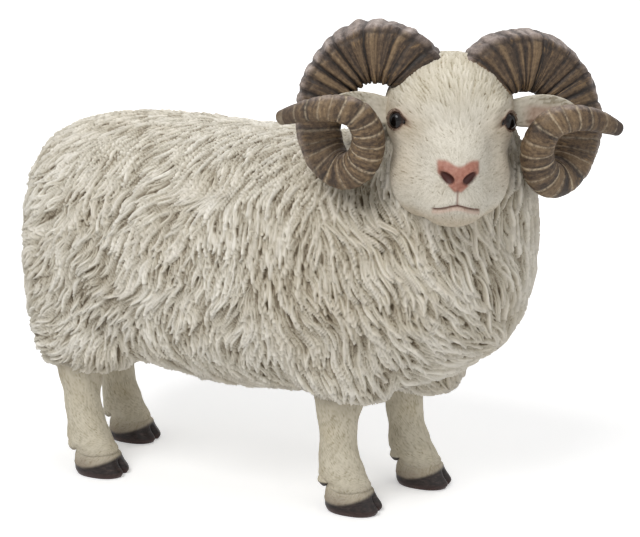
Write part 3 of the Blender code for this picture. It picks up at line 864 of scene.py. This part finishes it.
eyeColours = [(0.30, rgb(7, 5, 5)), (0.42, rgb(22, 12, 8)), (0.54, rgb(44, 24, 14)), (0.66, rgb(13, 8, 6))]


def eyePaint():
    box = PaintBox("eyePaint")
    streak = box.noise(box.objectPlace(), 1400.0, 2.0)
    spot = box.sumOf(box.stored("eyeTurn"), box.aboutHalf(streak, 3.0))
    colour = box.steps(box.calc("DIVIDE", spot, 90.0), eyeColours)
    return box.done(colour, box.spread(streak, 0.0, 1.0, 0.04, 0.08), 0.26)


def makeEyes():
    paint = eyePaint()
    radius = eyes["radius"] / 1000
    for name, (centre, axis) in zip(("eyeRight", "eyeLeft"), eyePlaces):
        place = onHead([centre / 1000])[0]
        ball = addBall(name, place, (radius,) * 3, segments=64, rings=40)
        look = headTurn @ (axis * (1, -1, 1))
        away = (pointsOf(ball) - place) / radius
        turned = np.degrees(np.arccos(np.clip(away @ look, -1, 1)))
        # the clear front of the eye stands a little proud, with a faint ring at its edge
        bulge = 0.00035 * (1 - ramp(turned, 24, 42)) - 0.00008 * bell(turned - 42, 3)
        putPoints(ball, pointsOf(ball) + away * bulge[:, None])
        keepValues(ball, eyeTurn=turned)
        finishPiece(ball, paint)


makeEyes()
print("eyes set")


# ears

ear = {"length": 0.046, "ahead": -0.010, "up": 0.004, "half": 0.0105, "thick": 0.010, "cupped": 0.0034,
       "hair": 0.75, "seed": 31}
# share from root to tip, half height, half thickness
earStations = [(-0.12, 0.78, 0.50), (0.10, 0.82, 0.38), (0.35, 0.98, 0.28), (0.60, 0.95, 0.22),
               (0.82, 0.62, 0.18), (0.96, 0.24, 0.12)]
earColours = {"outer": [(0.15, rgb(150, 138, 116)), (0.50, rgb(198, 190, 172)), (0.9, rgb(218, 211, 196))],
              "inner": [(0.15, rgb(104, 76, 62)), (0.50, rgb(146, 116, 98)), (0.9, rgb(176, 150, 132))]}


def makeEar(name, side, paint):
    rings, rootX = [], 0.40 * head["size"]
    for out, high, thick in easedRows(earStations, 12):
        ring = []
        for deep, tall in roundOutline(40, thick * ear["thick"], high * ear["half"]):
            cupped = ear["cupped"] * high * ((tall / (high * ear["half"])) ** 2 - 0.5)
            ring.append((side * (rootX + out * ear["length"]), ear["ahead"] + 0.006 * out + deep + cupped,
                         ear["up"] + 0.005 * out + tall))
        rings.append(onHead(ring))
    piece = skinThrough(name, rings)
    points, normals = pointsOf(piece), normalsOf(piece)
    local = fromHead(points)
    # inside the cup and below the rim: the ear's pinker colour with painted shade under the rolled rim
    inside = ramp(normals @ headTurn @ np.array((0, -1, 0)), 0.45, 0.85) * ramp(np.abs(local[:, 0]), 44, 54)
    inside = inside * (1 - ramp(local[:, 2], 7, 12))
    # hair laid towards the tip
    way = alongSkin(points - onHead([(side * 0.020, -0.010, 0.002)]), normals)
    height, _, edge, _ = layStrokes(points, normals, way, faceHairs, np.full(len(points), ear["hair"]),
                                    ear["seed"])
    pushOut(piece, 0.0003 * (height - 0.4))
    # the inside gets the pinker colour and painted shade; the right ear, nearer the camera, is painted pale
    # all through
    keepValues(piece, hairHeight=height - 0.3 * ramp(edge, 0.4, 0.95),
               earInside=inside * (1.0 if side > 0 else 0.12))
    finishPiece(piece, paint)


def earPaint():
    box = PaintBox("earPaint")
    grit = box.noise(box.objectPlace(), 620.0)
    level = box.sumOf(box.times(box.stored("hairHeight"), 0.70), box.times(grit, 0.35))
    box.bump(grit, 0.35, 0.0005)
    # the inside: pinker, with painted shade under the rim
    colour = box.blend(box.times(box.stored("earInside"), 0.85), box.steps(level, earColours["outer"]),
                       box.steps(level, earColours["inner"]))
    return box.done(colour, 0.74, 0.25)


earFinish = earPaint()
makeEar("earRight", -1, earFinish)
makeEar("earLeft", 1, earFinish)
print("ears made")


# horns

horn = {"width": 0.0370, "around": 80, "steps": 34, "ring": 7.4, "flatter": 0.94,
        "drops": (0.0010, 0.0046), "tipReach": 0.0048}
# out, ahead, up from between the eyes, and width, as shares of the width at the root
hornLine = [(0.43, -0.43, 0.60, 0.98), (0.76, -0.46, 0.98, 1.07), (1.20, -0.55, 1.13, 1.08),
            (1.68, -0.60, 1.02, 1.03), (2.09, -0.56, 0.60, 0.94), (2.28, -0.44, -0.03, 0.83),
            (2.16, -0.22, -0.62, 0.74), (1.84, 0.06, -0.87, 0.66), (1.54, 0.32, -0.66, 0.61),
            (1.45, 0.48, -0.22, 0.57), (1.62, 0.56, 0.15, 0.52), (1.96, 0.58, 0.29, 0.47),
            (2.34, 0.55, 0.27, 0.40), (2.64, 0.48, 0.17, 0.32), (2.78, 0.44, 0.11, 0.26)]
# the rounded tip: size of each ring, and how far it stands out
hornTip = [(0.95, 0.0014), (0.82, 0.0027), (0.58, 0.0037), (0.27, 0.0043)]


def unevenLines(places, seed):
    # a random level at each whole number, eased in between
    levels = np.random.default_rng(seed).uniform(0, 1, 1024)
    whole = np.floor(places).astype(int)
    t = places - whole
    t = t * t * (3 - 2 * t)
    return levels[whole % 1024] * (1 - t) + levels[(whole + 1) % 1024] * t


def hornRelief(run, phi, share, seed):
    # heights in millimetres: growth rings with uneven grooves, finer lines, and a lumpy outer side
    early = 1 - ramp(share, 0.34, 0.60)
    place = run * 1000 + 1.1 * np.cos(phi + 0.5) + 0.5 * np.sin(2 * phi + run * 60)
    turns = place / horn["ring"] + 0.45 * (unevenLines(place / 13, seed) - 0.5)
    whole, phase = np.rint(turns), turns % 1.0
    gap = np.minimum(phase, 1 - phase) * horn["ring"]
    groove = bell(gap, 1.0) * (0.35 + 0.65 * unevenLines(whole, seed + 1))
    # the finer lines break off and shift on their way round
    shift = 2.1 * unevenLines(phi * 1.9 + 1.2 * unevenLines(place / 5, seed + 7), seed + 8)
    broad = unevenLines((place + 0.6 * shift) / 2.9, seed + 2)
    fine = unevenLines((place + shift) / 1.5, seed + 3)
    outer = ramp(np.cos(phi), 0.55, 0.85)
    crumple = unevenLines(phi * 3.1 + run * 170, seed + 4) * unevenLines(run * 240 - phi * 1.7, seed + 5)
    lift = early * (-1.7 * groove + 0.9 * (broad - 0.5) + 0.35 * (fine - 0.5))
    lift = lift * (1 - 0.45 * outer) + early * outer * 3.0 * (crumple - 0.25)
    lift += (1 - early) * (-0.35 * bell(gap, 0.7) + 0.30 * (broad - 0.5) + 0.15 * (fine - 0.5))
    # the crest between front and outer side, and the dark line below it
    stray, swell = 0.16 * (unevenLines(place / 6, seed + 9) - 0.5), np.sin(math.pi * phase)
    crest = bell(phi - 0.74 - stray, 0.20) * early * (0.5 + 1.1 * swell * unevenLines(whole, seed + 10))
    under = bell(phi - 0.93 - stray - 0.10 * swell, 0.09) * early * (0.35 + 0.65 * broad)
    lift += 1.0 * crest - 0.9 * under
    ringLine = bell(gap, 0.55) * (1 - early) * (0.4 + 0.6 * unevenLines(whole, seed + 6))
    values = {"hornGroove": groove, "hornBroad": broad, "hornFine": fine, "hornRun": share,
              "hornFront": np.sin(phi), "hornOuter": np.cos(phi), "hornKeel": under, "hornRing": ringLine,
              "hornGrain": np.stack([place, 6 * np.cos(phi), 6 * np.sin(phi)], axis=-1)}
    return lift, values


def makeHorn(name, side, paint, seed):
    rows = np.array(hornLine) * horn["width"]
    rows[:, 2] -= horn["drops"][int(side > 0)]
    if side < 0:
        rows[-3:, 0] += np.array((0.25, 0.65, 1.0)) * horn["tipReach"]
    line = easedRows(rows, horn["steps"])
    spots = line[:, :3]
    run = np.concatenate([[0], np.cumsum(np.linalg.norm(np.diff(spots, axis=0), axis=1))])
    along = unitRows(np.gradient(spots, axis=0))
    ahead = unitRows(np.array((0.0, 1.0, 0.0)) - along * along[:, 1:2])
    out = np.cross(along, ahead)
    around = np.linspace(0, 2 * math.pi, horn["around"], endpoint=False)
    grid, phi = np.meshgrid(run, around, indexing="ij")
    share = grid / run[-1]
    lift, values = hornRelief(grid, phi, share, seed)
    squareness = 3.8 - 1.6 * ramp(share, 0.25, 0.60)  # flat front and top near the root
    reach = line[:, 3:4] / 2 + lift / 1000 * ramp(1 - share, 0, 0.05)
    x = reach * squared(np.cos(phi), squareness)
    y = horn["flatter"] * reach * squared(np.sin(phi), squareness)
    rings = spots[:, None] + out[:, None] * x[..., None] + ahead[:, None] * y[..., None]
    rings = rings * np.array((side, 1, 1))
    tip, middle = rings[-1], rings[-1].mean(axis=0)
    forward = along[-1] * (side, 1, 1)
    rounded = [middle + (tip - middle) * size + forward * push for size, push in hornTip]
    placed = [onHead(ring) for ring in (*rings, *rounded)]
    piece = skinThrough(name, placed)
    # the same values for the merged points, found again by their place
    tree = treeOf(np.concatenate(placed))
    match = np.array([tree.find(p)[1] for p in pointsOf(piece)])
    for key, value in values.items():
        full = np.concatenate([value, np.repeat(value[-1:], len(hornTip), axis=0)])
        keepValues(piece, **{key: full.reshape(-1, *value.shape[2:])[match]})
    # how far each point faces up, for a painted highlight along the top of the horn
    keepValues(piece, hornTop=ramp(normalsOf(piece)[:, 2], 0.55, 0.95))
    finishPiece(piece, paint)
    print(name, len(piece.data.polygons), "faces")


hornColours = {"brown": [(0.05, rgb(30, 23, 18)), (0.28, rgb(62, 49, 38)), (0.50, rgb(95, 77, 58)),
                         (0.75, rgb(128, 107, 81)), (1.0, rgb(164, 141, 108))],
               "ash": [(0.05, rgb(64, 54, 49)), (0.30, rgb(108, 96, 90)), (0.55, rgb(146, 133, 126)),
                       (0.90, rgb(186, 173, 166))],
               "tan": rgb(156, 124, 80), "keel": rgb(36, 28, 24), "rings": rgb(200, 182, 154),
               "tip": rgb(62, 51, 44)}


def hornPaint():
    box = PaintBox("hornPaint")
    groove, broad, fine, run = (box.stored("horn" + word) for word in ("Groove", "Broad", "Fine", "Run"))
    streak = box.noise(box.scaled(box.stored("hornGrain", True), (0.85, 0.40, 0.40)), 1.0, 4.0, 0.65)
    grit, cloud = box.noise(box.objectPlace(), 420.0, 4.0, 0.65), box.noise(box.objectPlace(), 70.0)
    early = box.spread(run, 0.34, 0.58, 1.0, 0.0)
    level = box.sumOf(box.times(broad, 0.42), box.times(fine, 0.26), box.aboutHalf(streak, 0.75),
                      box.aboutHalf(grit, 0.75))
    level = box.calc("SUBTRACT", level, box.times(groove, box.spread(early, 0, 1, 0.08, 0.50)))
    level = box.sumOf(level, 0.10)
    ash = box.steps(level, hornColours["ash"])
    onOuter = box.times(box.spread(box.stored("hornOuter"), 0.55, 0.80), early)
    colour = box.blend(box.times(onOuter, 0.92), box.steps(level, hornColours["brown"]), ash)
    # painted highlight: the upward-facing top is lighter in the ash colour, more so on the coil
    colour = box.blend(box.times(box.stored("hornTop"), box.spread(early, 0, 1, 0.55, 0.15)), colour, ash)
    tan = box.times(box.spread(cloud, 0.50, 0.66), box.spread(streak, 0.54, 0.68))
    tan = box.times(tan, box.spread(box.stored("hornFront"), -0.2, 0.5))
    colour = box.blend(box.times(tan, 0.60), colour, hornColours["tan"])
    colour = box.blend(box.times(box.stored("hornKeel"), 0.80), colour, hornColours["keel"])
    # thin pale rings on the inner coil, broken here and there
    ring = box.times(box.stored("hornRing"), box.spread(grit, 0.36, 0.56, 0.25, 1.0))
    colour = box.blend(box.times(ring, 0.85), colour, hornColours["rings"])
    colour = box.blend(box.spread(run, 0.90, 1.0, 0.0, 0.62), colour, hornColours["tip"])
    box.bump(box.sumOf(grit, box.times(streak, 0.8)), 0.55, 0.0005)
    return box.done(colour, box.spread(grit, 0.0, 1.0, 0.66, 0.48), 0.32)


hornFinish = hornPaint()
makeHorn("hornRight", -1, hornFinish, 3)
makeHorn("hornLeft", 1, hornFinish, 4)


# legs and hooves

leg = {"width": 0.0290, "root": 0.045, "steps": 12, "around": 96, "seed": 40}
hoof = {"height": 0.017, "length": 0.041, "width": 0.031, "cleft": 0.0032, "cleftDeep": 0.0068,
        "ahead": 0.0064, "lip": 0.0005, "square": 2.4, "around": 112, "seed": 50}
dewclaw = {"aside": 0.0066, "back": 0.0092, "up": 1.30, "radii": (0.0045, 0.0058, 0.0052), "seed": 61}
# height, half width, half length, set back, share of the lean
legStations = [(fleece["belly"] + leg["root"], 1.30, 1.45, 1.75, 0.0),
               (fleece["belly"] + 0.006, 1.16, 1.24, 1.80, 0.0)]
legStations += [(up * fleece["belly"], *others) for up, *others in (
    (0.80, 0.98, 0.95, 1.85, 0.2), (0.60, 0.92, 0.93, 1.84, 0.5), (0.41, 0.99, 1.10, 1.55, 0.8),
    (0.325, 1.04, 1.17, 1.38, 1.0), (0.265, 1.00, 1.06, 0.72, 1.0), (0.225, 1.00, 1.10, 0.56, 1.0),
    (0.175, 0.84, 0.80, 0.44, 1.0))]
# height, half width, half length, set back
hoofStations = [(0.0, 0.92, 0.93, 0.0), (0.20, 1.0, 1.0, 0.0), (0.50, 0.98, 0.91, 0.0017),
                (0.80, 0.93, 0.83, 0.0032), (1.12, 0.80, 0.68, 0.0048)]
legHairs = {"length": 0.0072, "width": 0.0017, "crowdAlong": 0.30, "crowdAside": 0.50, "lean": 0.16,
            "bend": 0.12, "wave": 0.15, "strand": 0.12, "strands": 2.0, "layer": 0.6, "rise": 0.00036,
            "swell": 0.0005}


def hairLeg(piece, y, seed, dark=None):
    # short hair combed down and a little back, none on the horn of the hoof
    points, normals = pointsOf(piece), normalsOf(piece)
    slant = 0.30 + 0.25 * np.sin(points[:, 2] * 55 + y * 40)
    way = alongSkin(np.stack([0 * slant, slant, -np.ones(len(points))], axis=1), normals)
    dark = np.zeros(len(points)) if dark is None else dark
    part = (points[:, 2] < fleece["belly"] + 0.014) & (dark < 0.7)
    height, tone, edge, _ = layStrokes(points, normals, way, legHairs, np.ones(len(points)), seed, part)
    uneven = np.sin(points[:, 2] * 260 + points[:, 0] * 330) * np.sin(points[:, 1] * 410)
    rise = legHairs["rise"] * (height - 0.4) * (1 - dark)
    pushOut(piece, rise + legHairs["swell"] * uneven * (points[:, 2] > 0.02))
    keepValues(piece, hairHeight=height - 0.18 * ramp(edge, 0.45, 0.95), hairTone=tone, hoofDark=dark)


def makeLeg(name, x, y, lean, paint, seed):
    rings = []
    for z, wide, long, back, share in easedRows(legStations, leg["steps"]):
        flat = roundOutline(leg["around"], leg["width"] / 2 * wide, leg["width"] / 2 * long)
        middle = y + lean * (1 - share) + hoof["ahead"] * (back - 1)
        rings.append([(x + a, middle + b, z) for a, b in flat])
    piece = skinThrough(name, rings)
    hairLeg(piece, y, seed)
    finishPiece(piece, paint)


def makeHoof(name, x, y, paint, seed):
    middle = y - hoof["ahead"]
    rings = []
    for up, wide, long, back in easedRows(hoofStations, 9):
        flat = roundOutline(hoof["around"], wide * hoof["width"] / 2, long * hoof["length"] / 2,
                            hoof["square"])
        if not rings:
            rings.append([(x + a * 0.8, middle + b * 0.8, 0.0) for a, b in flat])  # on the sole
        rings.append([(x + a, middle + back + b, up * hoof["height"]) for a, b in flat])
    piece = skinThrough(name, rings)
    points = pointsOf(piece)
    z, ahead = points[:, 2], (middle - points[:, 1]) / (hoof["length"] / 2)
    # the cleft, deepest at the toe, and the line where the horn of the hoof begins
    gap = bell(points[:, 0] - x, hoof["cleft"] * (0.42 + 0.25 * ramp(-z, -0.020, -0.004)))
    cleft = gap * ramp(ahead, 0.45, 0.95) * (1 - ramp(z, 0.0085, 0.0140))
    line = 0.0072 + 0.0078 * ramp(ahead, -0.5, 1.15)
    dark = np.clip(1 - ramp(z - line, -0.0012, 0.0018), 0, 1)
    lip = bell(z - line - 0.0012, 0.0016) * ramp(z, 0.003, 0.006)
    points[:, 1] += hoof["cleftDeep"] * cleft
    putPoints(piece, points)
    pushOut(piece, hoof["lip"] * lip * (1 - cleft))
    hairLeg(piece, y, seed, dark)
    finishPiece(piece, paint)


def makeDewclaw(name, x, y, inner, dark, paint):
    place = np.array((x + inner * dewclaw["aside"], y + dewclaw["back"] + 0.5 * hoof["ahead"],
                      dewclaw["up"] * hoof["height"]))
    claw = addBall(name, place, dewclaw["radii"], segments=40, rings=28)
    points = pointsOf(claw) - place
    # drawn down and back to a blunt end, with a shallow waist above it
    low = ramp(-points[:, 2], 0.0, dewclaw["radii"][2])
    points[:, :2] *= (1 - 0.35 * low)[:, None]
    points[:, 1] += 0.0012 * low
    points *= (1 - 0.05 * bell(points[:, 2] - 0.0008, 0.0008))[:, None]
    putPoints(claw, points + place)
    hairLeg(claw, y, dewclaw["seed"], ramp(-points[:, 2], 0.0004, 0.0022) * dark)
    finishPiece(claw, paint)


legColours = {"hair": [(0.05, rgb(150, 139, 115)), (0.35, rgb(177, 168, 146)), (0.8, rgb(205, 197, 178))],
              "shell": [(0.30, rgb(23, 18, 17)), (0.52, rgb(40, 32, 30)), (0.75, rgb(66, 54, 50))],
              "clouds": rgb(208, 196, 166), "underWool": rgb(150, 138, 124), "creep": rgb(104, 86, 72),
              "sole": rgb(82, 52, 46)}


def legPaint():
    box = PaintBox("legPaint")
    dark = box.stored("hoofDark")
    grit, cloud = box.noise(box.objectPlace(), 700.0, 2.0), box.noise(box.objectPlace(), 60.0)
    stain = box.noise(box.objectPlace((1, 1, 3)), 230.0, 4.0, 0.6)
    level = box.sumOf(box.times(box.stored("hairHeight"), 0.75), box.times(grit, 0.30),
                      box.aboutHalf(box.stored("hairTone"), 0.15))
    hair = box.steps(level, legColours["hair"])
    hair = box.glaze(box.spread(cloud, 0.45, 0.8, 0.0, 0.35), hair, legColours["clouds"])
    up = box.add("ShaderNodeSeparateXYZ", {0: box.objectPlace()}).outputs[2]
    # painted shade: the legs darken upwards where they go under the fleece
    hair = box.glaze(box.spread(up, 0.060, 0.090, 0.0, 0.35), hair, legColours["underWool"])
    # the wash that creeps up from the hoof
    creep = box.sumOf(up, box.aboutHalf(cloud, 0.010))
    hair = box.blend(box.spread(creep, 0.022, 0.008, 0.0, 0.62), hair, legColours["creep"])
    shell = box.steps(stain, legColours["shell"])
    shell = box.blend(box.spread(up, 0.0050, 0.0010, 0.0, 0.45), shell, legColours["sole"])
    box.bump(box.sumOf(grit, box.times(stain, 0.6)), 0.35, 0.0004)
    return box.done(box.blend(dark, hair, shell), box.spread(dark, 0.0, 1.0, 0.75, 0.42), 0.3)


def makeLegs():
    paint = legPaint()
    for side, word in ((-1, "Right"), (1, "Left")):
        step = stepOf("front", side)
        # name, x, y, lean, and how dark the dewclaws are
        feet = (("hind" + word, side * stance["hindTrack"] / 2 + stance["hindSide"],
                 stance["hindY"] - stance["hindLean"] - stepOf("hind", side), stance["hindLean"], 0.25),
                ("front" + word, side * stance["frontTrack"] / 2, stance["frontY"] - step, 0.18 * step, 1.0))
        for name, x, y, lean, dark in feet:
            makeLeg(name + "Leg", x, y, lean, paint, leg["seed"] + side)
            makeHoof(name + "Hoof", x, y, paint, hoof["seed"] + side)
            for inner, which in ((-1, "DewIn"), (1, "DewOut")):
                makeDewclaw(name + which, x, y, inner, dark, paint)


makeLegs()
print("legs and hooves made")


print("figurine dressed")
